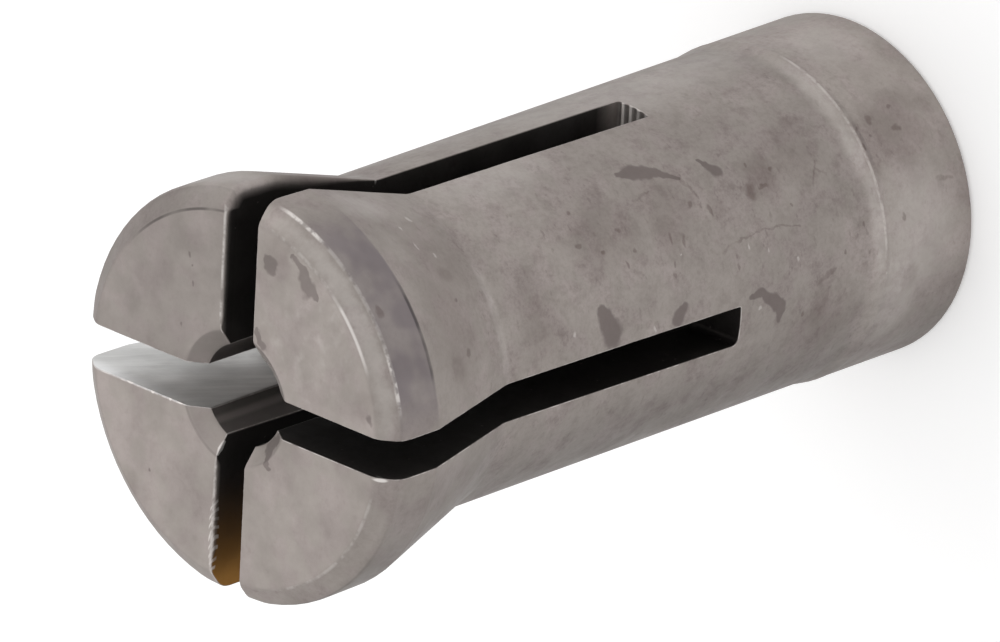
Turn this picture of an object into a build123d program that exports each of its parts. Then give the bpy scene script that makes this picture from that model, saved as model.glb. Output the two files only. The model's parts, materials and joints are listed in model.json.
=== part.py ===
from build123d import *
import os

# Collet cone: a spring collet turned from one steel bar, bored, and split into four jaws by
# two crossed slots. Z is the turning axis. Z = 0 is the rear face that the collet stands on,
# and the jaws' flat faces are at the top. The slots run along X and Y. Sizes are in millimetres.

# Body and overall length
length = 25.3
body_diameter = 10.0

# Rear guide land, a little larger than the body
guide_rise = 0.08
guide_length = 3.7
guide_ramp_length = 0.7
rear_edge_radius = 0.2

# Head: chamfer, band and seating cone, as heights above the body's surface and lengths along Z
seat_length = 4.0
neck_radius = 0.25
band_rear_rise = 1.18
band_front_rise = 1.2
band_length = 1.5
face_chamfer_length = 0.45
face_chamfer_depth = 0.6
band_edge_radius = 0.12

# Gripping bore and the mouth that a shank enters
grip_diameter = 3.0
grip_length = 9.0
mouth_chamfer_depth = 0.52
mouth_chamfer_length = 0.4

# Relief bore behind the gripping bore
relief_diameter = 6.4
relief_cone_length = 1.6
relief_edge_chamfer = 0.35

# Slots
slot_width = 1.2
slot_length = 15.6
slot_corner_radius = 0.2
slot_cuts = 2

# A cut reaches this far past the surface that it opens
cut_margin = 1.0

body_radius = body_diameter / 2
guide_radius = body_radius + guide_rise
band_rear_radius = body_radius + band_rear_rise
band_front_radius = body_radius + band_front_rise
face_radius = band_front_radius - face_chamfer_depth
grip_radius = grip_diameter / 2
mouth_radius = grip_radius + mouth_chamfer_depth
relief_radius = relief_diameter / 2

band_front_z = length - face_chamfer_length
band_rear_z = band_front_z - band_length
neck_z = band_rear_z - seat_length
guide_top_z = guide_length + guide_ramp_length
mouth_z = length - mouth_chamfer_length
grip_rear_z = length - grip_length
relief_top_z = grip_rear_z - relief_cone_length


def turned_blank():
    """The bar turned to its outer form, before it is bored."""
    outline = Polyline(
        (0, 0),
        (guide_radius, 0),
        (guide_radius, guide_length),
        (body_radius, guide_top_z),
        (body_radius, neck_z),
        (band_rear_radius, band_rear_z),
        (band_front_radius, band_front_z),
        (face_radius, length),
        (0, length),
        close=True,
    )
    section = make_face(outline)
    section = fillet(corners_at(section, guide_radius, 0), rear_edge_radius)
    section = fillet(corners_at(section, body_radius, neck_z), neck_radius)
    section = fillet(corners_at(section, band_rear_radius, band_rear_z), band_edge_radius)
    section = fillet(corners_at(section, band_front_radius, band_front_z), band_edge_radius)
    return revolve(Plane.XZ * section, Axis.Z)


def corners_at(section, radius, height):
    """The corner of a flat section at a radius and a height."""
    return section.vertices().sort_by_distance((radius, height, 0))[0]


def through_bore():
    """The shank's gripping bore with its mouth, and the relief bore behind it."""
    outline = Polyline(
        (0, -cut_margin),
        (relief_radius + relief_edge_chamfer + cut_margin, -cut_margin),
        (relief_radius, relief_edge_chamfer),
        (relief_radius, relief_top_z),
        (grip_radius, grip_rear_z),
        (grip_radius, mouth_z),
        (mouth_radius, length),
        (mouth_radius, length + cut_margin),
        (0, length + cut_margin),
        close=True,
    )
    return revolve(Plane.XZ * make_face(outline), Axis.Z)


def jaw_slot():
    """One cut straight across the collet, which parts two opposite pairs of jaws."""
    reach = 2 * (max(band_front_radius, band_rear_radius, guide_radius) + cut_margin)
    height = slot_length + cut_margin
    blade = Pos(0, 0, length - slot_length) * Box(
        reach, slot_width, height, align=(Align.CENTER, Align.CENTER, Align.MIN)
    )
    end_edges = blade.edges().filter_by(Axis.X).group_by(Axis.Z)[0]
    return fillet(end_edges, min(slot_corner_radius, 0.45 * slot_width))


def collet():
    cone = turned_blank() - through_bore()
    for turn in range(slot_cuts):
        cone -= Rot(0, 0, turn * 180 / slot_cuts) * jaw_slot()
    return cone


os.makedirs("parts", exist_ok=True)
export_step(collet(), "parts/collet_cone.step")
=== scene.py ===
import json
import math
from functools import partial

import bmesh
import bpy
from mathutils import Matrix, Vector, noise


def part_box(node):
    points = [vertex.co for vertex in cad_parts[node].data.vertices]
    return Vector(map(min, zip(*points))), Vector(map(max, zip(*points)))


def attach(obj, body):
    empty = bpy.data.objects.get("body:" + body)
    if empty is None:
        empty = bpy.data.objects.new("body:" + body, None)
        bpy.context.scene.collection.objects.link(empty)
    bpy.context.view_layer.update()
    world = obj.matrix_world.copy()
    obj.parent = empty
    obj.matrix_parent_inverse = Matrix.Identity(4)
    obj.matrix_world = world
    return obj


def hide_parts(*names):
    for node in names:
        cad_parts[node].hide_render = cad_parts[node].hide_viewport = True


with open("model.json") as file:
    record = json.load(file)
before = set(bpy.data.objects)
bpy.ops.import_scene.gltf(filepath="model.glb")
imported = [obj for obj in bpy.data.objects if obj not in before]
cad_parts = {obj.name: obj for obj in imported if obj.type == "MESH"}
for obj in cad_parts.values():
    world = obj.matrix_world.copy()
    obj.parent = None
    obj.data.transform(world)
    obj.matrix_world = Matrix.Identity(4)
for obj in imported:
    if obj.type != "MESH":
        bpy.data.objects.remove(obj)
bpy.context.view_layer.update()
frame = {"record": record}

# Lengths are in millimetres, apart from the floor's size and the lamps', which are in metres
MM = 0.001
NODE = "collet_cone"
mounts = {mount["name"]: mount["dims"] for mount in frame["record"]["mounts"]}

# The turned form, outside
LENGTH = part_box(NODE)[1][2] / MM
BODY_RADIUS = 5.0
GUIDE_RADIUS = mounts["rear_guide"]["r_mm"]
GUIDE_LENGTH = 3.7
RAMP_LENGTH = 0.7
REAR_EDGE_RADIUS = 0.2
CREST_RISE = 0.012
CREST_WIDTH = 0.09
CREST_DIP = 0.003
RAMP_ROUND = 1.0
SEAT_LENGTH = mounts["seating_cone"]["length_mm"]
BAND_LENGTH = 1.5
FACE_CHAMFER_LENGTH = mounts["nut_chamfer"]["length_mm"]
FACE_CHAMFER_DEPTH = 0.6
# The band lies a hair under the solid's, so that no jaw corner leaves the solid's box
BAND_FRONT_RADIUS = mounts["nut_chamfer"]["r_mm"] - 0.02
BAND_REAR_RADIUS = mounts["seating_cone"]["r_mm"] - 0.02
FACE_RADIUS = BAND_FRONT_RADIUS - FACE_CHAMFER_DEPTH
NECK_ROUND = 0.7
BAND_ROUND = 0.25
CHAMFER_ROUND = 0.25

# The bores
GRIP_RADIUS = mounts["shank_bore"]["r_mm"]
GRIP_LENGTH = 9.0
MOUTH_DEPTH = 0.52
MOUTH_LENGTH = 0.4
RELIEF_RADIUS = 3.2
RELIEF_CONE_LENGTH = 1.6
RELIEF_EDGE_CHAMFER = 0.35
REAR_CHAMFER_ROUND = 0.06
BORE_ROUND = 0.1

# The slots
SLOT_HALF = 0.6
SLOT_LENGTH = 15.6
SLOT_CORNER = 0.2
SHARP_CORNER = 0.06
ROUND_CORNER = (3, -1)

FACE_Z = LENGTH
MOUTH_RADIUS = GRIP_RADIUS + MOUTH_DEPTH
BAND_FRONT_Z = FACE_Z - FACE_CHAMFER_LENGTH
BAND_REAR_Z = BAND_FRONT_Z - BAND_LENGTH
NECK_Z = BAND_REAR_Z - SEAT_LENGTH
MOUTH_Z = FACE_Z - MOUTH_LENGTH
GRIP_REAR_Z = FACE_Z - GRIP_LENGTH
RELIEF_TOP_Z = GRIP_REAR_Z - RELIEF_CONE_LENGTH
SLOT_END_Z = FACE_Z - SLOT_LENGTH
HEAD_START_Z = BAND_FRONT_Z - 0.4

# The two cuts run a little askew, as sideways drift for each millimetre of depth
CUT_SKEW = (0.0272, 0.0223)
# How far each jaw stands from its true place at the face, as (X, Y): jaws lie anticlockwise from +X
JAW_SHIFT = ((-0.091, 0.043), (-0.195, -0.006), (-0.031, 0.1), (-0.075, -0.009))

# Slots are numbered anticlockwise from +X; side 1 is the wall of the jaw that follows the slot
WORN_EDGE = (0, 1)
SAWN_EDGE = (2, -1)
RUBBED_EDGE = (1, 1)
RIDGED_END = 0
# Painted shade on the inner surfaces, from 0 to 1: darker deep in the slots and the bore
RIDGED_END_PAINTED_SHADE = 0.12
MOUTH_PAINTED_SHADE = 0.12
GRIP_PAINTED_SHADE = 0.58
RELIEF_PAINTED_SHADE = 0.9

# How much rounder the profile's corners are worn beside the slots, and how far that reaches
CORNER_WEAR = 0.35
CORNER_REACH = 0.7
# How close to the bore's mouth and to the face the edges' own shapes begin
MOUTH_ZONE = 0.4
FACE_ZONE = 0.12
# Slot edges: how far the rounding reaches on the turned surface and on the wall
EDGE_WIDTH = 0.035
WORN_REACH = 0.22
WORN_DEPTH = 0.45
SAWN_WIDTH = 0.13
SAWN_DEPTH = 0.2
RUBBED_WIDTH = 0.065
# How much less of the worn edge's rounding there is on the face
WORN_REACH_LOSS = 0.6
WORN_DEPTH_LOSS = 0.75
# How far below the face the painted shade on the worn edge's wall takes to deepen
WORN_FADE = 0.24
# Where the sawn edge's depth ends, before the face's rim, and how much of its width is left at the mouth
SAWN_END_RADIUS = 5.3
SAWN_TAPER = 0.55
# Where the bright rim lies across a rounded edge, from 0 at the turned surface to 1 at the wall; the rim is
# partly wear and partly painted highlight
RIM_SHARE = 0.3
# The saw's marks along one jaw's edge on the face
SERRATION_PITCH = 0.3
SERRATION_SLANT = 1.8
SERRATION_HEIGHT = 0.02
# Ridges that the cutter left across one slot's end
RIDGE_PITCH = 0.3
RIDGE_PLACE = -0.03
RIDGE_HEIGHT = 0.02
# How uneven the other slot edges are
EDGE_UNEVEN = 0.03

# Colours of the steel: its clouds from dark to light, its brown tint, and where it is rubbed bright, which
# also serves for painted highlights and painted light
STEEL_DARK = (0.332, 0.292, 0.275, 1)
STEEL_LIGHT = (0.402, 0.355, 0.335, 1)
STEEL_TINT = (0.345, 0.322, 0.288, 1)
STEEL_WEAR_AND_HIGHLIGHT = (0.78, 0.74, 0.71, 1)
RUBBED_WALL = (0.56, 0.56, 0.552, 1)
RUBBED_LIGHT = (0.72, 0.715, 0.705, 1)
RUBBED_WALL_PAINTED_LIGHT = (0.86, 0.86, 0.87, 1)
BAND_TONE = (0.195, 0.170, 0.173, 1)
STAIN_TONE = (0.145, 0.120, 0.114, 1)
DARK_BROWN = (0.05, 0.018, 0.015, 1)
# How much darker these regions are than the rest
BODY_DEPTH = 0.12
# The low side's darkening is painted shade, on the side turned away from the light
LOW_SIDE_PAINTED_SHADE = 0.3
TOP_JAW_DEPTH = 0.18
NEAR_JAWS_DEPTH = 0.03
# How dark the painted shade makes the slots and the bore
PAINTED_SHADE_DEPTH = 0.86
# The golden-brown tint at the foot of the lowest slot, over the wall's painted shade
FOOT_PLACE = (-6.4, 0.6, 24.6)
FOOT_REACH = (2.4, 0.9, 3.6)
FOOT_COLOR = (0.21, 0.10, 0.02, 1)
# Where the painted highlights on the sawn edge's ribs lie
SAWN_PLACE = (-4.35, 0.62, 25.25)
SAWN_REACH = (1.35, 0.17, 0.2)
# The light all round, and the two lamps' width and distance
WORLD_LIGHT = 0.85
LAMP_SIZE = 0.5
LAMP_DISTANCE = 0.6
# How much brighter than its light the floor looks, its half width, and its gap to the collet
FLOOR_LIFT = 0.26
FLOOR_HALF = 1.5
FLOOR_GAP = 0.02
# The fitted camera, which stands far away with a long lens
CAMERA_PLACE = (283.299, -466.866, 519.38)
CAMERA_RIGHT = (0.04587, -0.72051, -0.69192)
CAMERA_BACK = (0.38149, -0.62752, 0.67874)
CAMERA_LENS = 937.32
CAMERA_SENSOR = 36

# How finely the mesh follows the form, in steps of its roundings and straight runs
EDGE_STEPS = 6
ARC_STEPS = 4
SHOULDER_STEPS = 5
RIM_STEPS = 6
RISE_STEPS = 3
CHAMFER_STEPS = 10
JAW_COLUMNS = 14
FACE_POINTS = 80
SLOT_END_STEPS = 20
CORNER_STEPS = 6
SLEEVE_STEPS = 6
ROW_STEP = 0.75
# The width of a strip that keeps flat shading flat beside a rounding, on a wall about this wide
SUPPORT = 0.015
WALL_WIDTH = 3.4
# Distances of the first columns from a slot's edge, on a jaw at least this wide
RIM_GAPS = (0, 0.015, 0.09, 0.2, 0.34, 0.52, 0.75)
WIDE_JAW = 3.0
# How far apart the rows of a wall and of a jaw stay, and the points that give a profile its direction
ROW_GAP = 0.004
LEAST_ROW = 0.012
NORMAL_REACH = 0.2


def arc_corner(before, corner, after, radius, steps):
    """Points of the arc that rounds a corner of a profile."""
    here = Vector(corner)
    back = (Vector(before) - here).normalized()
    ahead = (Vector(after) - here).normalized()
    half_turn = back.angle(ahead) / 2
    middle = here + (back + ahead).normalized() * radius / math.sin(half_turn)
    start = here + back * radius / math.tan(half_turn)
    end = here + ahead * radius / math.tan(half_turn)
    points = []
    for step in range(steps + 1):
        spoke = (start - middle).slerp(end - middle, step / steps) * radius
        points.append(tuple(middle + spoke))
    return points


def straight(start, end, steps):
    """Points between two places on a profile, both left out."""
    return [tuple(Vector(start).lerp(Vector(end), step / steps)) for step in range(1, steps)]


def lower_profile(corners):
    """A rising profile from the slot's end to the head, from corners as (radius, height, rounding)."""
    points = [corners[0][:2]]
    for before, corner, after in zip(corners, corners[1:], corners[2:]):
        points += arc_corner(before[:2], corner[:2], after[:2], corner[2], ARC_STEPS)
    return points + [corners[-1][:2]]


def radius_at(profile, height):
    """The radius of a rising profile at a height."""
    for (r0, z0), (r1, z1) in zip(profile, profile[1:]):
        if height <= z1 + 1e-9:
            return r0 + (r1 - r0) * (height - z0) / max(z1 - z0, 1e-9)
    return profile[-1][0]


def row_heights(*profiles):
    """Heights of the rows, at every bend of the profiles and no more than ROW_STEP apart."""
    low = SLOT_END_Z + SLOT_CORNER
    bends = sorted({round(z, 5) for profile in profiles for _, z in profile if low < z <= HEAD_START_Z})
    heights = [low]
    for bend in bends:
        if bend - heights[-1] < LEAST_ROW:
            continue
        gaps = math.ceil((bend - heights[-1]) / ROW_STEP)
        first = heights[-1]
        heights += [first + (bend - first) * gap / gaps for gap in range(1, gaps + 1)]
    return heights


def head_side(start, shoulder, shoulder_round, corner, corner_round, beyond):
    """The last rows of one side of the head, up to the flat face."""
    first = arc_corner(start, shoulder, corner, shoulder_round, SHOULDER_STEPS)
    second = arc_corner(shoulder, corner, beyond, corner_round, RIM_STEPS)
    between = straight(first[-1], second[0], CHAMFER_STEPS)
    return straight(start, first[0], RISE_STEPS) + first + between + second


def outer_profile(wear):
    """The outside below the head's front, with all its roundings a little larger by the wear."""
    return lower_profile([
        (BODY_RADIUS, SLOT_END_Z),
        (BODY_RADIUS, NECK_Z, NECK_ROUND + wear),
        (BAND_REAR_RADIUS, BAND_REAR_Z, BAND_ROUND + wear),
        (BAND_FRONT_RADIUS, HEAD_START_Z),
    ])


bore_lower = lower_profile([
    (RELIEF_RADIUS, SLOT_END_Z),
    (RELIEF_RADIUS, RELIEF_TOP_Z, BORE_ROUND),
    (GRIP_RADIUS, GRIP_REAR_Z, BORE_ROUND),
    (GRIP_RADIUS, HEAD_START_Z),
])
heights = row_heights(outer_profile(0), bore_lower)
# Shares of the way across a wall or a face, close together at both ends
rim_share = SUPPORT / WALL_WIDTH
wall_columns = [0, rim_share]
wall_columns += [rim_share + (1 - 2 * rim_share) * n / FACE_POINTS for n in range(1, FACE_POINTS)]
wall_columns += [1 - rim_share, 1]


def jaw_outline(wear):
    """A jaw's whole turned profile, from the slot's end, over the face and down the bore."""
    outer = outer_profile(wear)
    outside = [(radius_at(outer, z), z) for z in heights] + head_side(
        (BAND_FRONT_RADIUS, HEAD_START_Z), (BAND_FRONT_RADIUS, BAND_FRONT_Z), BAND_ROUND + wear,
        (FACE_RADIUS, FACE_Z), CHAMFER_ROUND + wear, (GRIP_RADIUS, FACE_Z),
    )
    inside = [(radius_at(bore_lower, z), z) for z in heights] + head_side(
        (GRIP_RADIUS, HEAD_START_Z), (GRIP_RADIUS, MOUTH_Z), BORE_ROUND / 2,
        (MOUTH_RADIUS, FACE_Z), BORE_ROUND + wear / 2, (FACE_RADIUS, FACE_Z),
    )
    face = [
        (outside[-1][0] + (inside[-1][0] - outside[-1][0]) * share, FACE_Z)
        for share in wall_columns[1:-1]
    ]
    return outside + face + inside[::-1]


jaw_profile = jaw_outline(0)
# Near the slots every corner of the profile is worn rounder
worn_profile = jaw_outline(CORNER_WEAR)
SIDE_ROWS = (len(jaw_profile) - len(wall_columns) + 2) // 2
corner_angles = [math.pi / 2 * n / CORNER_STEPS for n in range(1, CORNER_STEPS + 1)]


def beside(profile, index, step):
    """The first point of a profile on one side that lies NORMAL_REACH or more away, or its end."""
    other = index
    while 0 <= other + step < len(profile) and math.dist(profile[other], profile[index]) < NORMAL_REACH:
        other += step
    return profile[other]


def inward(profile):
    """Unit vectors from a profile's points into the steel, which turn gently round its corners."""
    normals = []
    for index in range(len(profile)):
        r0, z0 = beside(profile, index, -1)
        r1, z1 = beside(profile, index, 1)
        size = math.hypot(r1 - r0, z1 - z0)
        normals.append((-(z1 - z0) / size, (r1 - r0) / size))
    return normals


worn_inward = inward(worn_profile)


def place(slot, across, radius, height):
    """A point beside a slot, by its distance across the slot from the slot's true middle."""
    along = math.sqrt(max(radius * radius - across * across, 0))
    turn = slot * math.pi / 2
    return (
        along * math.cos(turn) - across * math.sin(turn),
        along * math.sin(turn) + across * math.cos(turn),
        height,
    )


def drift(slot, side, height):
    """How far a slot's wall lies from its true place: the cut's skew and the jaw's own shift."""
    turn = slot * math.pi / 2
    sideways = (-math.sin(turn), math.cos(turn))
    cut = slot % 2
    skew = -CUT_SKEW[cut] * (FACE_Z - height) * sideways[1 - cut]
    reach = min(max((height - SLOT_END_Z) / SLOT_LENGTH, 0), 1)
    bend = reach * reach * (3 - reach) / 2
    shift = JAW_SHIFT[slot if side > 0 else (slot - 1) % 4]
    return skew + bend * (shift[0] * sideways[0] + shift[1] * sideways[1])


def wall_across(slot, side, height, extra=0.0):
    return side * (SLOT_HALF + extra) + drift(slot, side, height)


def corner_across(slot, side, angle, extra=0.0):
    """The distance across the slot, and the height, in the rounded corner at the slot's end."""
    corner = SLOT_CORNER if (slot, side) == ROUND_CORNER else SHARP_CORNER
    reach = corner + extra
    height = SLOT_END_Z + corner - reach * math.sin(angle)
    across = side * (SLOT_HALF - corner + reach * math.cos(angle))
    return across + drift(slot, side, SLOT_END_Z), height


def head_share(index):
    """How far up the head's outside a point of the jaw's profile lies, and whether it is on the face."""
    radius, height = worn_profile[index]
    outside = smooth((radius - MOUTH_RADIUS) / MOUTH_ZONE)
    face = smooth((height - FACE_Z + FACE_ZONE) / FACE_ZONE)
    return outside * smooth((height - NECK_Z) / SEAT_LENGTH), face


def smooth(share):
    share = min(max(share, 0), 1)
    return share * share * (3 - 2 * share)


def edge_size(slot, side, index):
    """How far the rounding of a slot's edge reaches on the turned surface, and down the wall."""
    head, face = head_share(index)
    radius = worn_profile[index][0]
    reach = depth = EDGE_WIDTH
    if (slot, side) == WORN_EDGE:
        reach += head * (WORN_REACH - EDGE_WIDTH) * (1 - WORN_REACH_LOSS * face)
        depth += head * (WORN_DEPTH - EDGE_WIDTH) * (1 - WORN_DEPTH_LOSS * face)
    elif (slot, side) == SAWN_EDGE:
        outwards = (radius - MOUTH_RADIUS) / (FACE_RADIUS - MOUTH_RADIUS)
        reach += head * face * (SAWN_WIDTH - EDGE_WIDTH) * (SAWN_TAPER + (1 - SAWN_TAPER) * outwards)
        before_end = smooth((SAWN_END_RADIUS - radius) / 0.5)
        depth += head * face * before_end * (SAWN_DEPTH - EDGE_WIDTH)
    elif (slot, side) == RUBBED_EDGE:
        reach += head * face * (RUBBED_WIDTH - EDGE_WIDTH)
    return reach, depth


def end_ridges(slot, across):
    """Heights of the cutter's ridges across one slot's end wall."""
    if slot != RIDGED_END:
        return 0
    wave = math.cos((across - RIDGE_PLACE) * 2 * math.pi / RIDGE_PITCH)
    from_middle = abs(across - drift(slot, 1, SLOT_END_Z)) / SLOT_HALF
    return RIDGE_HEIGHT * wave * smooth((1 - from_middle) / 0.3)


def turned_patch(jaw):
    """One jaw's turned surface as a grid: the outside, the flat face and the bore."""
    rows = [corner_row(jaw, BODY_RADIUS, angle) for angle in reversed(corner_angles)]
    rows += [jaw_row(jaw, index) for index in range(len(jaw_profile))]
    return rows + [corner_row(jaw, RELIEF_RADIUS, angle) for angle in corner_angles]


def jaw_row(jaw, index):
    """A row of points round a jaw, which are worn more beside the slots."""
    radius, height = worn_profile[index]
    after = (jaw + 1) % 4
    first = wall_across(jaw, 1, height, edge_size(jaw, 1, index)[0])
    last = wall_across(after, -1, height, edge_size(after, -1, index)[0])
    return spread(jaw, jaw_profile[index], worn_profile[index], first, last)


def corner_row(jaw, radius, angle):
    """A row of points under a jaw, between the corners of two slots' ends, which may differ in size."""
    first, first_height = corner_across(jaw, 1, angle, EDGE_WIDTH)
    last, last_height = corner_across((jaw + 1) % 4, -1, angle, EDGE_WIDTH)
    row = spread(jaw, (radius, 0), (radius, 0), first, last)
    rise = (last_height - first_height) / (len(row) - 1)
    return [(x, y, first_height + rise * number) for number, (x, y, _) in enumerate(row)]


def spread(jaw, middle, rim, first, last):
    """A row of points between two slots, at one radius and height in the middle and others at the rims."""
    start = jaw * math.pi / 2 + math.asin(first / rim[0])
    end = (jaw + 1) * math.pi / 2 + math.asin(last / rim[0])
    length = rim[0] * (end - start)
    near = [gap / length * min(1, length / WIDE_JAW) for gap in RIM_GAPS]
    inner = [near[-1] + (1 - 2 * near[-1]) * n / JAW_COLUMNS for n in range(1, JAW_COLUMNS)]
    points = []
    for share in near + inner + [1 - share for share in reversed(near)]:
        turn = start + (end - start) * share
        worn = 1 - smooth(min(share, 1 - share) * length / CORNER_REACH)
        radius, height = mix(middle, rim, worn)
        points.append((radius * math.cos(turn), radius * math.sin(turn), height))
    return points


def end_places(slot):
    """Distances across a slot's end wall, from its first corner to its last, both left out."""
    low = corner_across(slot, -1, math.pi / 2)[0]
    high = corner_across(slot, 1, math.pi / 2)[0]
    return [high + (low - high) * n / SLOT_END_STEPS for n in range(1, SLOT_END_STEPS)]


def wall_grid(slot, side):
    """One wall of a slot, as rows of (radius, height) from the slot's end to the face."""
    last = len(jaw_profile) - 1
    grid = []
    for index in range(SIDE_ROWS):
        outside = edge_foot(slot, side, index)
        inside = edge_foot(slot, side, last - index)
        grid.append([mix(outside, inside, share) for share in wall_columns])
    for column in range(1, len(wall_columns) - 1):
        grid[-1][column] = edge_foot(slot, side, SIDE_ROWS + column - 1)
        # No row rises above the next one, even under a deep rounding
        for upper, lower in zip(grid[:0:-1], grid[-2::-1]):
            lower[column] = lower[column][0], min(lower[column][1], upper[column][1] - ROW_GAP)
    return grid


def wall_rows(slot):
    """A slot's two walls and its end wall as one grid of rows from one face to the other."""
    rows = []
    for side in (1, -1):
        part = [[wall_point(slot, side, point) for point in row] for row in reversed(wall_grid(slot, side))]
        for angle in corner_angles:
            across, height = corner_across(slot, side, angle)
            part.append([place(slot, across, radius, height) for radius in end_radii()])
        rows.append(part)
    middle = [
        [place(slot, across, radius, SLOT_END_Z + end_ridges(slot, across)) for radius in end_radii()]
        for across in end_places(slot)
    ]
    return rows[0] + middle + rows[1][::-1]


def end_radii():
    outside = BODY_RADIUS - EDGE_WIDTH
    inside = RELIEF_RADIUS + EDGE_WIDTH
    return [outside + (inside - outside) * share for share in wall_columns]


def mix(one, other, share):
    return tuple(a + (b - a) * share for a, b in zip(one, other))


def edge_foot(slot, side, index):
    """Where the wall begins, as the point of the jaw's profile moved into the steel by the rounding."""
    radius, height = worn_profile[index]
    width = edge_size(slot, side, index)[1]
    return radius + worn_inward[index][0] * width, height + worn_inward[index][1] * width


def wall_point(slot, side, point):
    return place(slot, wall_across(slot, side, point[1]), *point)


def corner_places(slot, side, radius, inset, angle):
    """Places on the turned surface, at the sharp edge and on the wall, in the corner of a slot's end."""
    across, height = corner_across(slot, side, angle, EDGE_WIDTH)
    turned = place(slot, across, radius, height)
    across, height = corner_across(slot, side, angle)
    return turned, place(slot, across, radius, height), place(slot, across, radius + inset, height)


def profile_places(slot, side, index):
    """The same three places along a jaw's profile."""
    radius, height = worn_profile[index]
    reach = edge_size(slot, side, index)[0]
    turned = place(slot, wall_across(slot, side, height, reach), radius, height)
    sharp = wall_point(slot, side, (radius, height))
    return turned, sharp, wall_point(slot, side, edge_foot(slot, side, index))


def end_wall_places(slot, across, radius, inset):
    """The same three places along a slot's end wall."""
    top = SLOT_END_Z + end_ridges(slot, across)
    turned = place(slot, across, radius, SLOT_END_Z - EDGE_WIDTH)
    return turned, place(slot, across, radius, top), place(slot, across, radius + inset, top)


def rounded_edge(slot):
    """The closed strip that rounds a slot's edge, as rows from the turned surface to the wall."""
    outer, inner = (BODY_RADIUS, -EDGE_WIDTH), (RELIEF_RADIUS, EDGE_WIDTH)
    edge = []
    for side in (1, -1):
        part = [corner_places(slot, side, *outer, angle) for angle in reversed(corner_angles)]
        part += [profile_places(slot, side, index) for index in range(len(worn_profile))]
        part += [corner_places(slot, side, *inner, angle) for angle in corner_angles]
        end = [end_wall_places(slot, across, *(inner if side > 0 else outer)) for across in end_places(slot)]
        edge += part + end if side > 0 else part[::-1] + end[::-1]
    rows = []
    for step in range(EDGE_STEPS + 1):
        row = [rounded_point(slot, step / EDGE_STEPS, *places) for places in edge]
        rows.append(row + row[:1])
    return rows


def rounded_point(slot, share, turned, sharp, wall):
    """A point between the turned surface and the wall, over the rounded edge."""
    weights = ((1 - share) ** 2, 2 * share * (1 - share), share ** 2)
    point = Vector([sum(w * c for w, c in zip(weights, three)) for three in zip(turned, sharp, wall)])
    lift = 4 * share * (1 - share)
    outward = (Vector(sharp) - (Vector(turned) + Vector(wall)) / 2).normalized()
    if slot == SAWN_EDGE[0] and sharp[1] > 0 and sharp[2] > FACE_Z - 0.001 and lift > 0:
        return sawn_point(point, outward * lift, sharp, share)
    burr = noise.noise(Vector(sharp) * 4) * noise.noise(Vector(sharp) * 17 + Vector((3, 1, 7)))
    point += outward * lift * EDGE_UNEVEN * min(burr, 0)
    return tuple(point)


def sawn_point(point, outward, sharp, share):
    """A point of the sawn edge, which is ribbed like a cord and stays under the face."""
    radius = math.hypot(sharp[0], sharp[1])
    uneven = noise.noise(Vector((radius * 2.3, 0.5, 0)))
    drawn = radius - SERRATION_SLANT * point.y
    wave = math.sin((drawn / SERRATION_PITCH + uneven) * 2 * math.pi)
    rough = noise.noise(Vector((radius * 5, 0.5, share))) + 0.25
    height = SERRATION_HEIGHT * (0.6 * wave + rough) * smooth((radius - MOUTH_RADIUS) / 0.5) * (1 - share)
    point += outward * height
    return point.x, point.y, min(point.z, FACE_Z)


def sleeve_turns(radius):
    """Angles of the sleeve's columns under the jaws and the slots, at a radius."""
    turns = []
    for slot in range(4):
        row = corner_row(slot, radius, math.pi / 2)
        for x, y, _ in row:
            past_full_turn = slot == 3 and x > 0 and y > 0
            turns.append(math.atan2(y, x) % (2 * math.pi) + (2 * math.pi if past_full_turn else 0))
        for across in end_places((slot + 1) % 4)[::-1]:
            turns.append((slot + 1) * math.pi / 2 + math.asin(across / radius))
    return turns + [turns[0] + 2 * math.pi]


def sleeve_profile():
    """The rear sleeve's section from the slots' ends down the outside and up the bore."""
    top = SLOT_END_Z - EDGE_WIDTH
    body_top, bore_top = (BODY_RADIUS, top), (RELIEF_RADIUS, top)
    ramp_top = (BODY_RADIUS, GUIDE_LENGTH + RAMP_LENGTH)
    guide_top, guide_end = (GUIDE_RADIUS, GUIDE_LENGTH), (GUIDE_RADIUS, 0)
    crest = GUIDE_RADIUS + CREST_RISE
    chamfer_start = (RELIEF_RADIUS + RELIEF_EDGE_CHAMFER, 0)
    chamfer_end = (RELIEF_RADIUS, RELIEF_EDGE_CHAMFER)
    outside = [body_top, (BODY_RADIUS, top - SUPPORT)]
    outside += straight(outside[-1], ramp_top, SLEEVE_STEPS)
    outside += arc_corner(body_top, ramp_top, guide_top, RAMP_ROUND, ARC_STEPS)
    outside += straight(outside[-1], (crest, GUIDE_LENGTH), ARC_STEPS)
    outside += [(crest, GUIDE_LENGTH), (crest, GUIDE_LENGTH - CREST_WIDTH / 2)]
    outside.append((GUIDE_RADIUS - CREST_DIP, GUIDE_LENGTH - CREST_WIDTH))
    outside.append((GUIDE_RADIUS, GUIDE_LENGTH - CREST_WIDTH * 2))
    rear_edge = arc_corner(guide_top, guide_end, (RELIEF_RADIUS, 0), REAR_EDGE_RADIUS, RIM_STEPS)
    outside += straight(outside[-1], rear_edge[0], SLEEVE_STEPS) + rear_edge
    chamfer = arc_corner(guide_end, chamfer_start, chamfer_end, REAR_CHAMFER_ROUND, RISE_STEPS)
    chamfer += arc_corner(chamfer_start, chamfer_end, bore_top, REAR_CHAMFER_ROUND, RISE_STEPS)
    inside = straight(rear_edge[-1], chamfer[0], ARC_STEPS) + chamfer
    inside += straight(chamfer[-1], (RELIEF_RADIUS, top - SUPPORT), SLEEVE_STEPS)
    return outside, inside + [(RELIEF_RADIUS, top - SUPPORT), bore_top]


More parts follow.
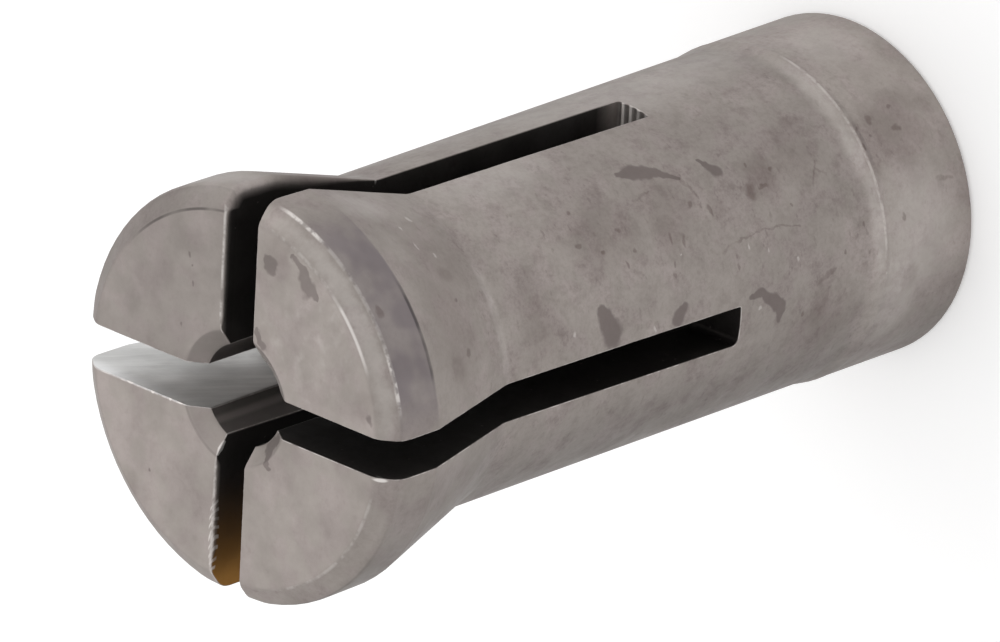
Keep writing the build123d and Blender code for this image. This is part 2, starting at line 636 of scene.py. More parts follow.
def sleeve_rows():
    """The rear sleeve as a grid of closed rings."""
    outside, inside = sleeve_profile()
    rows = []
    for profile, radius in ((outside, BODY_RADIUS), (inside, RELIEF_RADIUS)):
        turns = sleeve_turns(radius)
        for r, z in profile:
            rows.append([(r * math.cos(turn), r * math.sin(turn), z) for turn in turns])
    return rows


def add_grid(points, faces, marks, rows, mark):
    """Adds a grid of points and its faces, and what mark says of each point by its row and place."""
    start = len(points)
    width = len(rows[0])
    for number, row in enumerate(rows):
        points.extend(row)
        marks.extend(mark(number, point) for point in row)
    for low in range(len(rows) - 1):
        for left in range(width - 1):
            a = start + low * width + left
            faces.append((a, a + 1, a + width + 1, a + width))


def strip_mark(slot, row, point):
    """Painted shade, bright rim and rubbing of a rounded slot edge, by its row from the turned surface to
    the wall; the rim is partly wear and partly painted highlight.
    """
    share = row / EDGE_STEPS
    rim = max(1 - abs(share - RIM_SHARE) / RIM_SHARE, 0)
    # How sharply the painted shade sets in across the strip, which the worn edge does more towards the face
    onset = 1.5
    if slot == SAWN_EDGE[0] and point[1] > 0:
        onset = 3
    if slot == WORN_EDGE[0] and point[1] > 0:
        onset = 1 + 3.5 * smooth((point[2] - BAND_REAR_Z) / BAND_LENGTH + 0.5)
        rim *= point[2] > FACE_Z - FACE_ZONE
    return wall_painted_shade(slot, point) * share ** onset, rim, share * on_rubbed_wall(slot, point)


def on_rubbed_wall(slot, point):
    """1 on the slot wall that is rubbed bright, and 0 elsewhere."""
    return float(slot == RUBBED_EDGE[0] and point[0] * RUBBED_EDGE[1] < 0)


def turned_painted_shade(point):
    """Painted shade on a turned surface, from 0 on the outside to 1 deep in the bore."""
    radius = math.hypot(point[0], point[1])
    if radius > MOUTH_RADIUS or point[2] > FACE_Z - 0.001:
        return RELIEF_PAINTED_SHADE if radius < RELIEF_RADIUS + 0.01 and point[2] < RELIEF_TOP_Z else 0
    if point[2] > MOUTH_Z:
        return MOUTH_PAINTED_SHADE if point[0] > 0 else 0
    return GRIP_PAINTED_SHADE if point[2] > GRIP_REAR_Z else RELIEF_PAINTED_SHADE


def wall_painted_shade(slot, point):
    """Painted shade on a slot's wall: none in one slot, little on one end wall, and on one wall it deepens
    slowly below the face.
    """
    if slot == RUBBED_EDGE[0]:
        return 0
    if slot == RIDGED_END and point[2] < SLOT_END_Z + SLOT_CORNER:
        return RIDGED_END_PAINTED_SHADE
    if slot == WORN_EDGE[0] and point[1] > 0:
        return smooth((FACE_Z - point[2]) / WORN_FADE)
    return 1


def turned_mark(row, point):
    return turned_painted_shade(point), 0, 0


def wall_mark(slot, row, point):
    return wall_painted_shade(slot, point), 0, on_rubbed_wall(slot, point)


def collet_mesh():
    """The whole collet as one closed mesh, with its patches joined where they meet."""
    points, faces, marks = [], [], []
    for quarter in range(4):
        add_grid(points, faces, marks, turned_patch(quarter), turned_mark)
        add_grid(points, faces, marks, wall_rows(quarter), partial(wall_mark, quarter))
        add_grid(points, faces, marks, rounded_edge(quarter), partial(strip_mark, quarter))
    add_grid(points, faces, marks, sleeve_rows(), turned_mark)
    mesh = bpy.data.meshes.new("collet")
    mesh.from_pydata([tuple(c * MM for c in point) for point in points], [], faces)
    for number, name in enumerate(("grime", "edge", "rubbed")):
        layer = mesh.attributes.new(name, "FLOAT", "POINT")
        layer.data.foreach_set("value", [float(mark[number]) for mark in marks])
    shell = bmesh.new()
    shell.from_mesh(mesh)
    bmesh.ops.remove_doubles(shell, verts=shell.verts, dist=0.0002 * MM)
    bmesh.ops.recalc_face_normals(shell, faces=shell.faces)
    shell.to_mesh(mesh)
    shell.free()
    mesh.shade_smooth()
    return mesh


def add_node(tree, kind, **settings):
    node = tree.nodes.new(kind)
    for name, value in settings.items():
        setattr(node, name, value)
    return node


def tree_of(values):
    """The node tree of the first socket among some values."""
    return next(value.id_data for value in values if isinstance(value, bpy.types.NodeSocket))


def feed(socket, value):
    """Gives a socket a number, a vector or another node's output."""
    if isinstance(value, bpy.types.NodeSocket):
        socket.id_data.links.new(value, socket)
    else:
        socket.default_value = value


def feed_all(node, values):
    """Feeds a node's inputs by their names."""
    for name, value in values.items():
        feed(node.inputs[name], value)


def maths(operation, *values, clamp=False):
    node = add_node(tree_of(values), "ShaderNodeMath", operation=operation, use_clamp=clamp)
    for socket, value in zip(node.inputs, values):
        feed(socket, value)
    return node.outputs[0]


def vector_maths(operation, *values):
    node = add_node(tree_of(values), "ShaderNodeVectorMath", operation=operation)
    for socket, value in zip(node.inputs, values):
        feed(socket, value)
    return node.outputs["Value" if operation in ("LENGTH", "DOT_PRODUCT") else "Vector"]


def scaled(vector, scale):
    node = add_node(tree_of((vector, scale)), "ShaderNodeVectorMath", operation="SCALE")
    feed(node.inputs[0], vector)
    feed(node.inputs["Scale"], scale)
    return node.outputs["Vector"]


def chained(operation, values):
    """Joins values one after another by an operation."""
    result = values[0]
    for value in values[1:]:
        result = maths(operation, result, value)
    return result


def largest(*values):
    return chained("MAXIMUM", values)


def smallest(*values):
    return chained("MINIMUM", values)


def times(*values):
    return chained("MULTIPLY", values)


def fade(value, low, high, first=0.0, last=1.0):
    """Carries a value smoothly from one range to another."""
    node = add_node(value.id_data, "ShaderNodeMapRange", interpolation_type="SMOOTHSTEP")
    feed_all(node, {"From Min": low, "From Max": high, "To Min": first, "To Max": last, "Value": value})
    return node.outputs["Result"]


def noise_node(place, scale, detail, roughness):
    node = add_node(place.id_data, "ShaderNodeTexNoise")
    feed_all(node, {"Scale": scale, "Detail": detail, "Roughness": roughness, "Vector": place})
    return node


def speckle(place, scale, detail=2.0, roughness=0.5, offset=(0, 0, 0)):
    """Soft noise from 0 to 1 with so many bumps to the millimetre."""
    return noise_node(vector_maths("ADD", place, offset), scale, detail, roughness).outputs["Fac"]


def offset_length(place, middle, reach):
    """The distance from a middle, counted in an ellipsoid's own half widths. A reach of 0 is endless."""
    scale = [1 / width if width else 0 for width in reach]
    start = [-centre * share for centre, share in zip(middle, scale)]
    return vector_maths("LENGTH", vector_maths("MULTIPLY_ADD", place, scale, start))


def spots(place, marks, soft=0.3):
    """1 within any of some spots, each (x, y, half width, half height), with soft rims."""
    distances = [offset_length(place, (x, y, 0), (width, height, 0)) for x, y, width, height in marks]
    return fade(smallest(*distances), 1 - soft, 1 + soft, 1, 0)


def strip_distance(place, start, end):
    """The distance from the line between two places (x, y, z, half width), counted in half widths."""
    step = Vector(end[:3]) - Vector(start[:3])
    offset = vector_maths("SUBTRACT", place, start[:3])
    along = vector_maths("DOT_PRODUCT", offset, step / step.length_squared)
    share = maths("ADD", along, 0, clamp=True)
    rest = vector_maths("ADD", scaled(-step, share), offset)
    width = maths("MULTIPLY_ADD", share, end[3] - start[3], start[3])
    return maths("DIVIDE", vector_maths("LENGTH", rest), width)


def smears(place, chains, soft=0.25):
    """1 along any of some chains of places, each (x, y, z, half width), with soft rims."""
    distances = [
        strip_distance(place, start, end) for chain in chains for start, end in zip(chain, chain[1:])
    ]
    return fade(smallest(*distances), 1 - soft, 1 + soft, 1, 0)


def blend(share, one, other):
    """Mixes two colours by a share from 0 to 1."""
    node = add_node(share.id_data, "ShaderNodeMix", data_type="RGBA")
    feed_all(node, {"Factor": share, "A": one, "B": other})
    return node.outputs["Result"]


def darken(color, share, depth):
    """Darkens a colour by up to a depth, where the share is 1."""
    return scaled(color, maths("MULTIPLY_ADD", share, -depth, 1.0))


def darken_to_brown(color, share, depth):
    """Darkens a colour towards brown by up to a depth, where the share is 1."""
    return blend(times(share, depth), color, DARK_BROWN)


def hypotenuse(one, other):
    return maths("SQRT", maths("ADD", times(one, one), times(other, other)))


class Surface:
    """Where a point lies on the collet, as sockets, with what many of its tones share."""

    def __init__(self, tree):
        self.tree = tree
        self.space = scaled(add_node(tree, "ShaderNodeTexCoord").outputs["Object"], 1 / MM)
        parts = add_node(tree, "ShaderNodeSeparateXYZ")
        feed(parts.inputs[0], self.space)
        self.x, self.y, self.height = parts.outputs
        self.radius = hypotenuse(self.x, self.y)
        self.degrees = maths("DEGREES", maths("ARCTAN2", self.y, self.x))
        unrolled = add_node(tree, "ShaderNodeCombineXYZ")
        around = maths("MULTIPLY", self.degrees, BODY_RADIUS * math.pi / 180)
        feed_all(unrolled, {"X": around, "Y": self.height, "Z": self.radius})
        # The wandering places give the marks their uneven rims
        wander = noise_node(self.space, 2.2, 2, 0.6).outputs["Color"]
        centred = vector_maths("SUBTRACT", wander, (0.5, 0.5, 0.5))
        self.wavy_unrolled = vector_maths("MULTIPLY_ADD", centred, (0.36, 0.36, 0), unrolled.outputs[0])
        self.wavy_space = vector_maths("MULTIPLY_ADD", centred, (0.45, 0.45, 0), self.space)
        self.flat_unrolled = vector_maths("MULTIPLY", self.wavy_unrolled, (1, 1, 0))
        self.flat_space = vector_maths("MULTIPLY", self.wavy_space, (1, 1, 0))
        self.grime = self.attribute("grime")
        self.edge = self.attribute("edge")
        self.rubbed = self.attribute("rubbed")
        self.broken = speckle(self.space, 1.9, 3, 0.7, (8, 1, 5))
        self.uneven = speckle(self.space, 1.2, 1, 0.5, (3, 7, 2))
        self.on_face = fade(self.height, FACE_Z - 0.06, FACE_Z - 0.01)
        self.stained = self.outside_smears(STAINS)
        self.ridges = end_ridge_light(self)

    def attribute(self, name):
        return add_node(self.tree, "ShaderNodeAttribute", attribute_name=name).outputs["Fac"]

    def near_ring(self, radius, height, reach):
        """1 on a ring round the axis, fading to 0 at a distance from it."""
        distance = hypotenuse(maths("SUBTRACT", self.radius, radius), maths("SUBTRACT", self.height, height))
        return fade(distance, reach * 0.3, reach, 1, 0)

    def between(self, first, last, soft=4):
        """1 between two angles round the axis, in degrees."""
        up = fade(self.degrees, first - soft, first + soft)
        return times(up, fade(self.degrees, last - soft, last + soft, 1, 0))

    def outside_spots(self, marks, soft=0.3):
        """Spots on the outside, each (degrees, height, half width, half length) with wandering rims."""
        flat = [(math.radians(degrees) * BODY_RADIUS, *rest) for degrees, *rest in marks]
        return spots(self.wavy_unrolled, flat, soft)

    def outside_smears(self, chains, soft=0.25):
        """Smears on the outside, as chains of (degrees, height, half width)."""
        flat = [
            [(math.radians(degrees) * BODY_RADIUS, height, 0, width) for degrees, height, width in chain]
            for chain in chains
        ]
        return smears(self.flat_unrolled, flat, soft)


# Oil-like stains on the outside, as chains of (degrees, height, half width)
STAINS = (
    ((-31.3, 12.5, 0.12), (-31.3, 12.05, 0.27), (-34.3, 11.3, 0.16), (-39.3, 10.6, 0.05)),
    ((-35.5, 9.6, 0.05), (-37.9, 9.4, 0.15), (-41.0, 9.2, 0.22)),
    ((-71.6, 15.35, 0.18), (-75.4, 15.2, 0.32), (-81, 15.0, 0.38)),
    ((-80.2, 12.0, 0.15), (-83, 12.3, 0.23)),
    ((-84.8, 9.3, 0.1), (-85.2, 8.8, 0.17), (-92, 8.0, 0.18), (-97.5, 8.05, 0.08)),
)
# Stains on the flat faces of the jaws, as chains of (x, y, half width)
FACE_STAINS = (
    ((4.96, -2.05, 0.06), (4.75, -2.4, 0.18), (4.2, -2.65, 0.3), (4.05, -3.0, 0.06)),
    ((4.65, -1.0, 0.12), (4.45, -1.2, 0.26)),
    ((2.4, -0.7, 0.08), (1.95, -0.95, 0.15)),
    ((-0.75, -1.55, 0.14), (-1.0, -1.35, 0.2), (-1.3, -1.25, 0.18), (-1.7, -1.4, 0.06)),
)
# Fine dark scratches on the outside, as chains like the stains
SCRATCHES = (
    ((-67.3, 10.15, 0.06), (-65.4, 9.7, 0.035), (-64.9, 8.6, 0.025), (-64.8, 7.9, 0.04),
     (-67.2, 6.95, 0.02)),
    ((-48.8, 5.55, 0.035), (-52, 5.7, 0.045), (-55.6, 6.0, 0.03)),
    ((-52, 5.7, 0.035), (-54.1, 5.35, 0.04)),
    ((-39.3, 10.6, 0.05), (-47.9, 10.35, 0.045)),
    ((-40, 12.0, 0.035), (-41.3, 12.7, 0.05)),
    ((-88, 6.4, 0.1), (-85, 5.75, 0.05)),
    ((-68.2, 1.25, 0.07), (-68.5, 0.67, 0.035)),
)
# Fainter stains, as (degrees, height, half width, half length); the long thin one just behind the crest is
# painted shade
FAINT_STAINS = (
    (-96, 6.3, 0.6, 0.36), (-98, 2.6, 0.45, 0.28), (-52, 9.8, 0.4, 0.3), (-33, 5.6, 0.2, 0.4),
    (-72, 21.9, 0.3, 0.34), (-45, 20.9, 0.22, 0.3), (-42.5, 0.8, 0.3, 0.4), (-47, 2.5, 0.7, 0.8),
    (-57, 2.2, 0.5, 0.4), (-40, 1.6, 0.5, 0.7), (-50, 1.5, 0.6, 0.5), (-43, 2.7, 0.4, 0.6),
    (-51, 3.42, 1.0, 0.22), (-56, 12.0, 0.5, 0.5), (-47, 7.6, 0.5, 0.5), (9, 21.3, 0.6, 1.9),
    (-51.5, 8.3, 0.26, 0.24),
)
# Broad areas that are a little darker
SHADES = (
    (-46, 11.6, 1.0, 1.0), (-47, 14.4, 1.0, 1.3), (-48, 7.8, 0.7, 0.6), (-43, 6.2, 0.9, 0.9),
    (-49, 2.4, 1.2, 1.0), (-68, 17.8, 1.2, 0.7), (-38, 20.6, 1.1, 1.2), (-62, 21.6, 1.4, 0.9),
    (-104, 6.2, 0.9, 1.5), (9, 21.3, 0.6, 1.9),
)
# Small dark dots
DOTS = (
    (-53.9, 14.6, 0.07, 0.07), (-37.9, 15.1, 0.06, 0.06), (-48.8, 13.7, 0.06, 0.09),
    (-49.5, 15.4, 0.09, 0.1), (-65, 12.1, 0.09, 0.05), (-69, 12.2, 0.1, 0.06),
    (-56.8, 13.4, 0.07, 0.07), (-60.6, 13.9, 0.1, 0.04), (-42.5, 8.05, 0.08, 0.06),
    (-46.5, 7.3, 0.08, 0.11), (-59.9, 7.05, 0.06, 0.07), (-98.5, 7.0, 0.07, 0.07),
    (-73, 9.65, 0.06, 0.06), (-48.4, 10.8, 0.1, 0.1), (-57.5, 11.95, 0.14, 0.05),
    (-59.3, 11.5, 0.2, 0.05), (-52.4, 10.1, 0.17, 0.08), (-51.6, 8.38, 0.21, 0.2),
    (-51.4, 7.8, 0.05, 0.2), (-74.3, 4.4, 0.09, 0.06), (-47.9, 3.25, 0.06, 0.07),
    (-39.8, 1.9, 0.06, 0.07), (-43.7, 3.5, 0.06, 0.06), (-49.8, 3.6, 0.1, 0.06),
    (-48, 2.1, 0.1, 0.17), (-41.8, 2.9, 0.12, 0.14), (-76.3, 2.9, 0.1, 0.06),
    (-80.8, 5.3, 0.07, 0.04), (-69, 21.2, 0.1, 0.12), (-53, 21.0, 0.06, 0.06),
    (-50, 24.55, 0.16, 0.12),
)
# Small dark dots on the flat faces, as (x, y, half width, half length)
FACE_DOTS = (
    (3.8, 2.0, 0.08, 0.06), (3.5, 1.9, 0.06, 0.05), (2.9, 1.8, 0.07, 0.04), (1.6, 2.2, 0.05, 0.04),
    (1.0, -5.25, 0.14, 0.08), (-3.2, 3.2, 0.05, 0.05),
)
# Broad darker areas on the flat faces
FACE_SHADES = (
    (4.95, -1.5, 0.45, 0.45), (-1.45, -1.1, 0.45, 0.4), (2.1, -1.0, 0.35, 0.3), (-4.0, 3.9, 0.5, 0.3),
    (1.4, -5.1, 0.5, 0.4),
)
# Areas of the outside that are a little lighter: on the body's top edge, on the ramp and on the chamfer's
# top this is painted light, and elsewhere the steel is rubbed lighter
RUBBED_AND_PAINTED_LIGHTS = (
    (-82, 2.2, 1.8, 1.3), (-100, 3.0, 1.6, 0.8), (-12, 16.5, 1.0, 2.2), (6, 9.0, 1.2, 5.0),
    (-16, 22.3, 0.5, 0.8), (-22, 4.0, 1.3, 0.3), (-49, 4.0, 0.8, 0.25), (-77, 3.9, 1.6, 0.25),
    (-6, 2.0, 1.0, 1.2), (-50, 25.1, 3.0, 0.14), (16, 24.2, 0.8, 0.8),
)
# Bright nicks on the edges of the head, as (x, y, z) and three half widths
EDGE_NICKS = (
    (-0.7, -5.6, 25.15, 0.07, 0.36, 0.16), (-0.78, 2.12, 25.3, 0.07, 0.14, 0.06),
    (-0.79, 2.5, 25.3, 0.08, 0.07, 0.06), (-0.8, 3.2, 25.3, 0.07, 0.09, 0.06),
    (-0.8, 4.1, 25.3, 0.05, 0.16, 0.05), (5.05, 0.42, 19.4, 0.3, 0.05, 0.09),
)
# A bright nick along the edge of one jaw's mouth, as a chain of (x, y, z, half width)
MOUTH_NICK = ((-1.92, 0.61, 25.24, 0.04), (-1.78, 0.61, 25.13, 0.075), (-1.6, 0.61, 25.0, 0.05))
# Light nicks on the outside
NICKS = (
    (-90, 8.9, 0.05, 0.06), (-77.8, 7.25, 0.05, 0.05), (-68, 9.1, 0.1, 0.025),
    (-71.2, 8.4, 0.07, 0.03), (-84, 13.3, 0.12, 0.05), (-63.6, 11.75, 0.04, 0.04),
    (-76.5, 16.5, 0.07, 0.04), (-21.2, 3.68, 0.14, 0.05), (-71, 3.68, 0.12, 0.04),
    (-93, 3.7, 0.06, 0.04), (-23, 20.7, 0.08, 0.06), (-27, 21.5, 0.05, 0.06),
    (-34, 21.4, 0.12, 0.03), (-38, 20.9, 0.07, 0.07),
)


def base_color(surface):
    """Warm grey steel with soft clouds and stains, painted shade in the slots and the bore, and bright edges
    that are partly wear and partly painted highlight.
    """
    clouds = speckle(surface.space, 0.33, 3, 0.6)
    color = blend(fade(clouds, 0.3, 0.7), STEEL_DARK, STEEL_LIGHT)
    color = mottled(surface, color)
    color = blend(fade(surface.uneven, 0.62, 0.42, 0.0, 0.35), color, STEEL_TINT)
    color = region_tones(surface, color)
    color = stains(surface, color)
    color = darken(color, dark_lines(surface), 0.55)
    color = blend(surface.rubbed, color, rubbed_color(surface))
    # Painted shade: the slots and the bore are darkened where shade falls
    color = darken(color, surface.grime, PAINTED_SHADE_DEPTH)
    # Painted light in lighter streaks along the bore, which lifts its painted shade
    color = blend(light_in_the_dark(surface), color, STEEL_DARK)
    # Painted highlights on the crests of the ridges across one slot's end wall
    color = blend(surface.ridges, color, STEEL_WEAR_AND_HIGHLIGHT)
    color = foot_tint(surface, color)
    # Painted highlights on edges and corners, with bright wear and nicks
    return blend(highlights_and_wear(surface), color, STEEL_WEAR_AND_HIGHLIGHT)


def mottled(surface, color):
    """Dirties the steel in patches, in grains and in small pits, which are fewer on the flat faces."""
    body = times(fade(surface.height, 2.0, GUIDE_LENGTH, 0.7, 1),
                 fade(surface.height, NECK_Z, NECK_Z + 1.5, 1, 0.6))
    turned = fade(surface.radius, MOUTH_RADIUS, MOUTH_RADIUS + 0.2, 0.4, 1)
    outside = times(maths("MULTIPLY_ADD", surface.on_face, -0.5, 1), body, turned)
    patches = speckle(surface.space, 1.7, 4, 0.72, (7, 3, 1))
    grain = speckle(surface.space, 6.5, 2, 0.8, (2, 9, 4))
    stretched = vector_maths("MULTIPLY", surface.space, (1.1, 1.1, 2.2))
    pits = speckle(stretched, 2.4, 2, 0.6, (5, 1, 8))
    color = darken_to_brown(color, times(fade(patches, 0.44, 0.68), outside), 0.2)
    color = darken_to_brown(color, times(fade(grain, 0.35, 0.75), outside), 0.18)
    return darken_to_brown(color, times(fade(pits, 0.62, 0.74), outside), 0.22)


def stains(surface, color):
    """Stains, broad shades, lighter areas that are partly painted light, dots and scratches."""
    color = darken_to_brown(color, surface.outside_spots(SHADES, 0.6), 0.15)
    # Lighter areas: rubbed steel, and painted light on the top edge, the ramp and the chamfer's top
    color = blend(times(surface.outside_spots(RUBBED_AND_PAINTED_LIGHTS, 0.6), 0.16), color, STEEL_WEAR_AND_HIGHLIGHT)
    # Fainter stains, and painted shade just behind the crest
    color = darken_to_brown(color, surface.outside_spots(FAINT_STAINS, 0.5), 0.15)
    face_shades = spots(surface.wavy_space, FACE_SHADES, 0.6)
    color = darken_to_brown(color, times(face_shades, surface.on_face), 0.13)
    color = blend(times(surface.stained, 0.85), color, STAIN_TONE)
    color = darken_to_brown(color, surface.outside_spots(DOTS, 0.4), 0.34)
    patchy = fade(surface.broken, 0.35, 0.6, 0.3, 1)
    color = darken_to_brown(color, times(surface.outside_smears(SCRATCHES, 0.6), patchy), 0.28)
    flat = [[(x, y, 0, width) for x, y, width in chain] for chain in FACE_STAINS]
    on_faces = largest(smears(surface.flat_space, flat), spots(surface.wavy_space, FACE_DOTS, 0.5))
    in_front = fade(surface.height, MOUTH_Z, MOUTH_Z + 0.05)
    return blend(times(on_faces, in_front, 0.62), color, STAIN_TONE)


def region_tones(surface, color):
    """Regions a little darker than the rest: the body, the band, parts of the jaws, and the low side, where
    the darkening is painted shade.
    """
    body = times(fade(surface.height, GUIDE_LENGTH + RAMP_LENGTH / 2, GUIDE_LENGTH + RAMP_LENGTH),
                 fade(surface.height, BAND_FRONT_Z, BAND_FRONT_Z + 0.15, 1, 0))
    color = darken(color, body, BODY_DEPTH)
    front = fade(surface.height, BAND_FRONT_Z - 0.04, BAND_FRONT_Z + 0.04, 1, 0)
    band = times(fade(surface.height, BAND_REAR_Z - 0.06, BAND_REAR_Z + 0.04), front)
    patchy = fade(surface.uneven, 0.35, 0.65, 0.55, 1)
    color = blend(times(band, patchy, surface.between(-80, -22, 10)), color, BAND_TONE)
    # Painted shade on the low side, turned away from the light
    painted_low_shade = times(fade(surface.degrees, -89, -133), fade(surface.degrees, -178, -152), front)
    color = darken(color, painted_low_shade, LOW_SIDE_PAINTED_SHADE)
    chamfer = times(fade(surface.height, BAND_FRONT_Z, BAND_FRONT_Z + 0.05), surface.between(3, 87))
    color = darken(color, chamfer, TOP_JAW_DEPTH)
    flanks = times(surface.on_face, surface.between(-178, -2))
    return darken(color, flanks, NEAR_JAWS_DEPTH)


def rubbed_color(surface):
    """The bright wall, with streaks that the saw left on it, and painted light towards the face and the
    outside, where the slot opens.
    """
    across = vector_maths("DOT_PRODUCT", surface.space, (0, 0.77, -0.64))
    stretched = vector_maths("ADD", scaled((1.6, 1.2, 0.9), across), scaled(surface.space, 0.3))
    streaks = speckle(stretched, 1, 3, 0.65)
    color = blend(surface.uneven, RUBBED_WALL, RUBBED_LIGHT)
    color = darken(color, fade(streaks, 0.4, 0.65), 0.15)
    # Painted light on the wall near the face and towards the outside, where light enters the slot
    rim = times(fade(surface.height, FACE_Z - 0.6, FACE_Z), fade(surface.y, 1, 5.5, 0.15, 0.6))
    return blend(rim, color, RUBBED_WALL_PAINTED_LIGHT)


def light_in_the_dark(surface):
    """Painted light in the dark: lighter streaks along the bore that lift its painted shade, and dust on the
    shaded walls.
    """
    bore = fade(surface.radius, GRIP_RADIUS + 0.02, GRIP_RADIUS + 0.06, 1, 0)
    streak = times(bore, largest(surface.between(133, 141, 3), surface.between(-172, -166, 3)), 0.75)
    dust = speckle(surface.space, 5, 1, 0.5, (4, 4, 7))
    return largest(streak, times(surface.grime, fade(dust, 0.74, 0.8), 0.25))


def end_ridge_light(surface):
    """1 on the crests of the ridges across one slot's end wall, where a highlight is painted."""
    at_end = times(fade(surface.height, SLOT_END_Z + 0.05, SLOT_END_Z + 0.12, 1, 0),
                   surface.between(-20, 10), fade(surface.grime, 0.03, 0.1))
    moved = maths("SUBTRACT", surface.y, RIDGE_PLACE)
    wave = maths("COSINE", maths("MULTIPLY", moved, 2 * math.pi / RIDGE_PITCH))
    return times(at_end, fade(wave, 0.0, 0.8), fade(surface.y, -0.8, 0.0, 0.45, 1))


def dark_lines(surface):
    """Fine dark lines: the band's rear edge and round one mouth, and painted shade just behind the crest and
    along the top jaw's chamfer edge.
    """
    broken = fade(surface.uneven, 0.3, 0.6, 0.25, 1)
    band = times(surface.near_ring(BAND_REAR_RADIUS, BAND_REAR_Z + 0.02, 0.1),
                 surface.between(-72, -45, 5), broken)
    # Painted shade just behind the crest and along the top jaw's chamfer edge
    crest = times(surface.near_ring(GUIDE_RADIUS, GUIDE_LENGTH - 0.15, 0.1),
                  surface.between(-60, -30, 10), broken, 0.35)
    jaw = times(surface.near_ring(FACE_RADIUS - 0.04, FACE_Z, 0.06), surface.between(4, 46, 12), broken)
    mouth = times(surface.near_ring(MOUTH_RADIUS + 0.03, FACE_Z, 0.06), surface.between(95, 170), 0.3)
    return largest(band, crest, jaw, mouth)


def highlights_and_wear(surface):
    """Where the steel is painted bright: painted highlights on the chamfer's corners and on the crest, a
    lighter stripe at the neck, rims on the slot edges that are partly wear and partly painted highlight,
    nicks, and painted highlights on the saw's ribs.
    """
    gentle = fade(surface.uneven, 0.35, 0.6, 0.35, 1)
    broken = fade(surface.broken, 0.38, 0.6)
    # Painted highlights along the chamfer's corners, strongest on the side towards the light
    inner_ring = surface.near_ring(FACE_RADIUS + 0.03, FACE_Z, 0.08)
    inner = times(inner_ring, surface.between(-65, -41, 3), gentle, 0.85)
    inner_rest = times(inner_ring, largest(surface.between(-42, -8), surface.between(-160, -98)),
                       broken, 0.25)
    outer_ring = surface.near_ring(BAND_FRONT_RADIUS - 0.02, BAND_FRONT_Z, 0.09)
    outer = times(outer_ring, largest(surface.between(-26, -11, 3), surface.between(-76, -60, 4)),
                  fade(surface.broken, 0.38, 0.56, 0.15, 0.8))
    outer_rest = times(outer_ring, surface.between(-60, -26), broken, 0.25)
    neck_ring = surface.near_ring(BODY_RADIUS, NECK_Z + 0.05, 0.24)
    neck = times(neck_ring, surface.between(-82, -44, 6), gentle, 0.14)
    # A painted highlight along the crest
    crest_ring = surface.near_ring(GUIDE_RADIUS, GUIDE_LENGTH, 0.07)
    crest = times(crest_ring, surface.between(-85, -8), broken, 0.3)
    # The slot edges' bright rims: partly wear, partly painted highlight
    rims = times(surface.edge, fade(surface.broken, 0.38, 0.62, 0.05, 1), 0.8)
    nicks = times(surface.outside_spots(NICKS, 0.5), 0.28)
    return largest(inner, inner_rest, outer, outer_rest, neck, crest, rims, nicks,
                   saw_rib_highlights(surface), edge_nicks(surface))


def saw_rib_highlights(surface):
    """Painted highlights on the slanting ribs along the sawn edge of one jaw."""
    # Painted highlights that follow the saw's ribs
    slant = maths("MULTIPLY_ADD", surface.y, SERRATION_SLANT, surface.x)
    drawn = maths("MULTIPLY_ADD", surface.uneven, 0.5, slant)
    wave = maths("SINE", maths("MULTIPLY", drawn, 2 * math.pi / SERRATION_PITCH))
    reach = offset_length(surface.space, SAWN_PLACE, SAWN_REACH)
    marks = fade(wave, 0.0, 0.8, 0.0, 0.55)
    return times(marks, fade(reach, 0.8, 1.0, 1, 0), fade(surface.broken, 0.35, 0.55, 0.3, 1))


def edge_nicks(surface):
    """Bright nicks on the corners of the head's edges."""
    distances = [offset_length(surface.space, nick[:3], nick[3:]) for nick in EDGE_NICKS]
    mouth = smears(surface.space, [MOUTH_NICK], 0.3)
    return largest(fade(smallest(*distances), 0.6, 1.1, 1, 0), mouth)


def foot_tint(surface, color):
    """The golden-brown tint at the foot of the lowest slot, where the wall's painted shade lies."""
    distance = offset_length(surface.wavy_space, FOOT_PLACE, FOOT_REACH)
    brown = times(fade(distance, 0.3, 1.7, 1, 0), surface.grime)
    return blend(brown, color, FOOT_COLOR)


def steel_roughness(surface):
    clouds = speckle(surface.space, 0.8, 3, 0.6, (3, 3, 9))
    rough = fade(clouds, 0.3, 0.7, 0.44, 0.58)
    rough = maths("MULTIPLY_ADD", surface.stained, -0.08, rough)
    rough = maths("MULTIPLY_ADD", surface.ridges, 0.4, rough)
    return maths("MULTIPLY_ADD", surface.rubbed, -0.16, rough)


def steel_bump(surface):
    """Fine turning grain and small dents."""
    turned = speckle(vector_maths("MULTIPLY", surface.space, (1, 1, 2)), 5, 2, 0.6)
    dents = speckle(surface.space, 1.6, 3, 0.6, (9, 9, 1))
    height = maths("ADD", times(turned, 0.003), times(dents, 0.008))
    bump = add_node(surface.tree, "ShaderNodeBump")
    feed_all(bump, {"Distance": MM, "Strength": 0.8, "Height": height})
    return bump.outputs["Normal"]


def new_material(name):
    """A new material and its shader."""
    material = bpy.data.materials.new(name)
    material.use_nodes = True
    return material, material.node_tree.nodes["Principled BSDF"]


def add_object(name, data):
    thing = bpy.data.objects.new(name, data)
    bpy.context.scene.collection.objects.link(thing)
    return thing


def steel_material():
    material, shader = new_material("collet_steel")
    surface = Surface(material.node_tree)
    feed_all(shader, {
        "Base Color": base_color(surface), "Roughness": steel_roughness(surface),
        "Normal": steel_bump(surface), "Metallic": 0.85, "Specular Tint": (0.7, 0.7, 0.7, 1),
    })
    return material


def build_collet():
    collet = add_object("collet_body", collet_mesh())
    collet.data.materials.append(steel_material())
    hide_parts(NODE)
    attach(collet, "root")


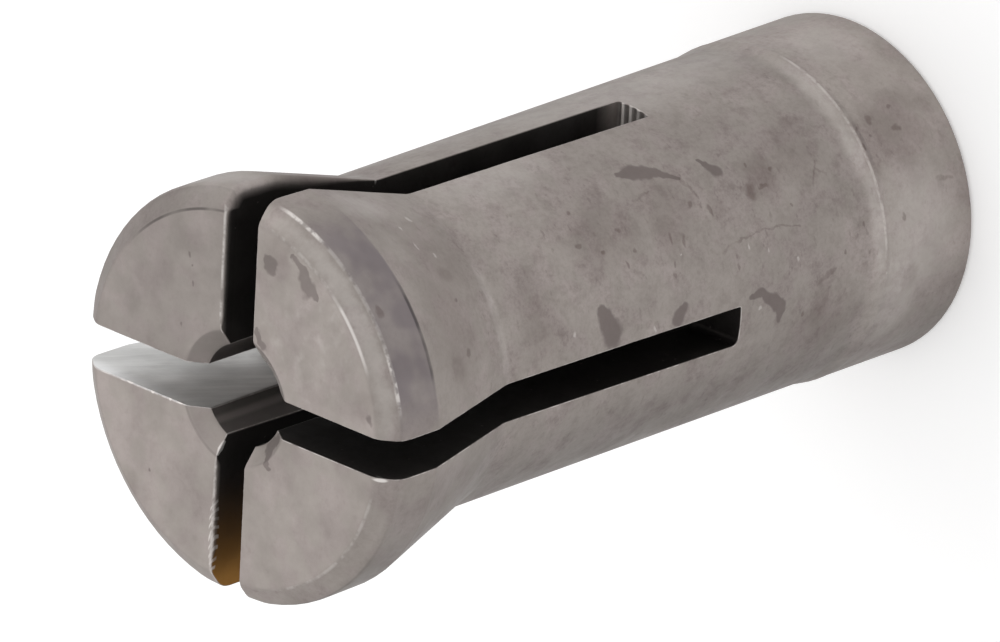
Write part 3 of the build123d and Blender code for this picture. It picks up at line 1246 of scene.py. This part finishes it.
def floor_material():
    """A pale floor that shows as white, with the object's shadow on it."""
    material, shader = new_material("pale_floor")
    rays = add_node(material.node_tree, "ShaderNodeLightPath").outputs
    seen = largest(rays["Is Camera Ray"], rays["Is Glossy Ray"], rays["Is Transmission Ray"])
    feed_all(shader, {
        "Base Color": (0.9, 0.9, 0.9, 1), "Roughness": 0.9, "Specular IOR Level": 0.1,
        "Emission Color": (1, 1, 1, 1), "Emission Strength": times(seen, FLOOR_LIFT),
    })
    return material


def build_floor():
    corners = ((-1, -1), (1, -1), (1, 1), (-1, 1))
    mesh = bpy.data.meshes.new("floor")
    points = [(x * FLOOR_HALF, y * FLOOR_HALF, -FLOOR_GAP * MM) for x, y in corners]
    mesh.from_pydata(points, [], [(0, 1, 2, 3)])
    mesh.materials.append(floor_material())
    add_object("floor", mesh)


def add_camera():
    right = Vector(CAMERA_RIGHT).normalized()
    back = Vector(CAMERA_BACK).normalized()
    turn = Matrix((right, back.cross(right), back)).transposed().to_4x4()
    camera = bpy.data.cameras.new("camera")
    camera.lens = CAMERA_LENS
    camera.sensor_width = CAMERA_SENSOR
    camera.clip_start = 0.05
    camera.clip_end = 10
    holder = add_object("camera", camera)
    holder.matrix_world = Matrix.Translation(Vector(CAMERA_PLACE) * MM) @ turn
    bpy.context.scene.camera = holder


def add_lamp(name, direction, power):
    """A square area lamp that points at the middle of the collet."""
    lamp = bpy.data.lights.new(name, "AREA")
    lamp.shape = "SQUARE"
    lamp.size = LAMP_SIZE
    lamp.energy = power
    holder = add_object(name, lamp)
    aim = Vector((0, 0, LENGTH / 2 * MM))
    holder.location = aim + Vector(direction).normalized() * LAMP_DISTANCE
    holder.rotation_euler = (holder.location - aim).to_track_quat("Z", "Y").to_euler()


def add_light():
    add_lamp("face_lamp", (-0.38, 0.63, 0.68), 0.38)
    add_lamp("top_lamp", (0.75, 0.55, 0.5), 0.5)
    world = bpy.data.worlds.new("studio")
    bpy.context.scene.world = world
    world.use_nodes = True
    feed_all(world.node_tree.nodes["Background"], {"Color": (1, 1, 1, 1), "Strength": WORLD_LIGHT})


bpy.context.scene.view_settings.view_transform = "Standard"
build_collet()
build_floor()
add_camera()
add_light()
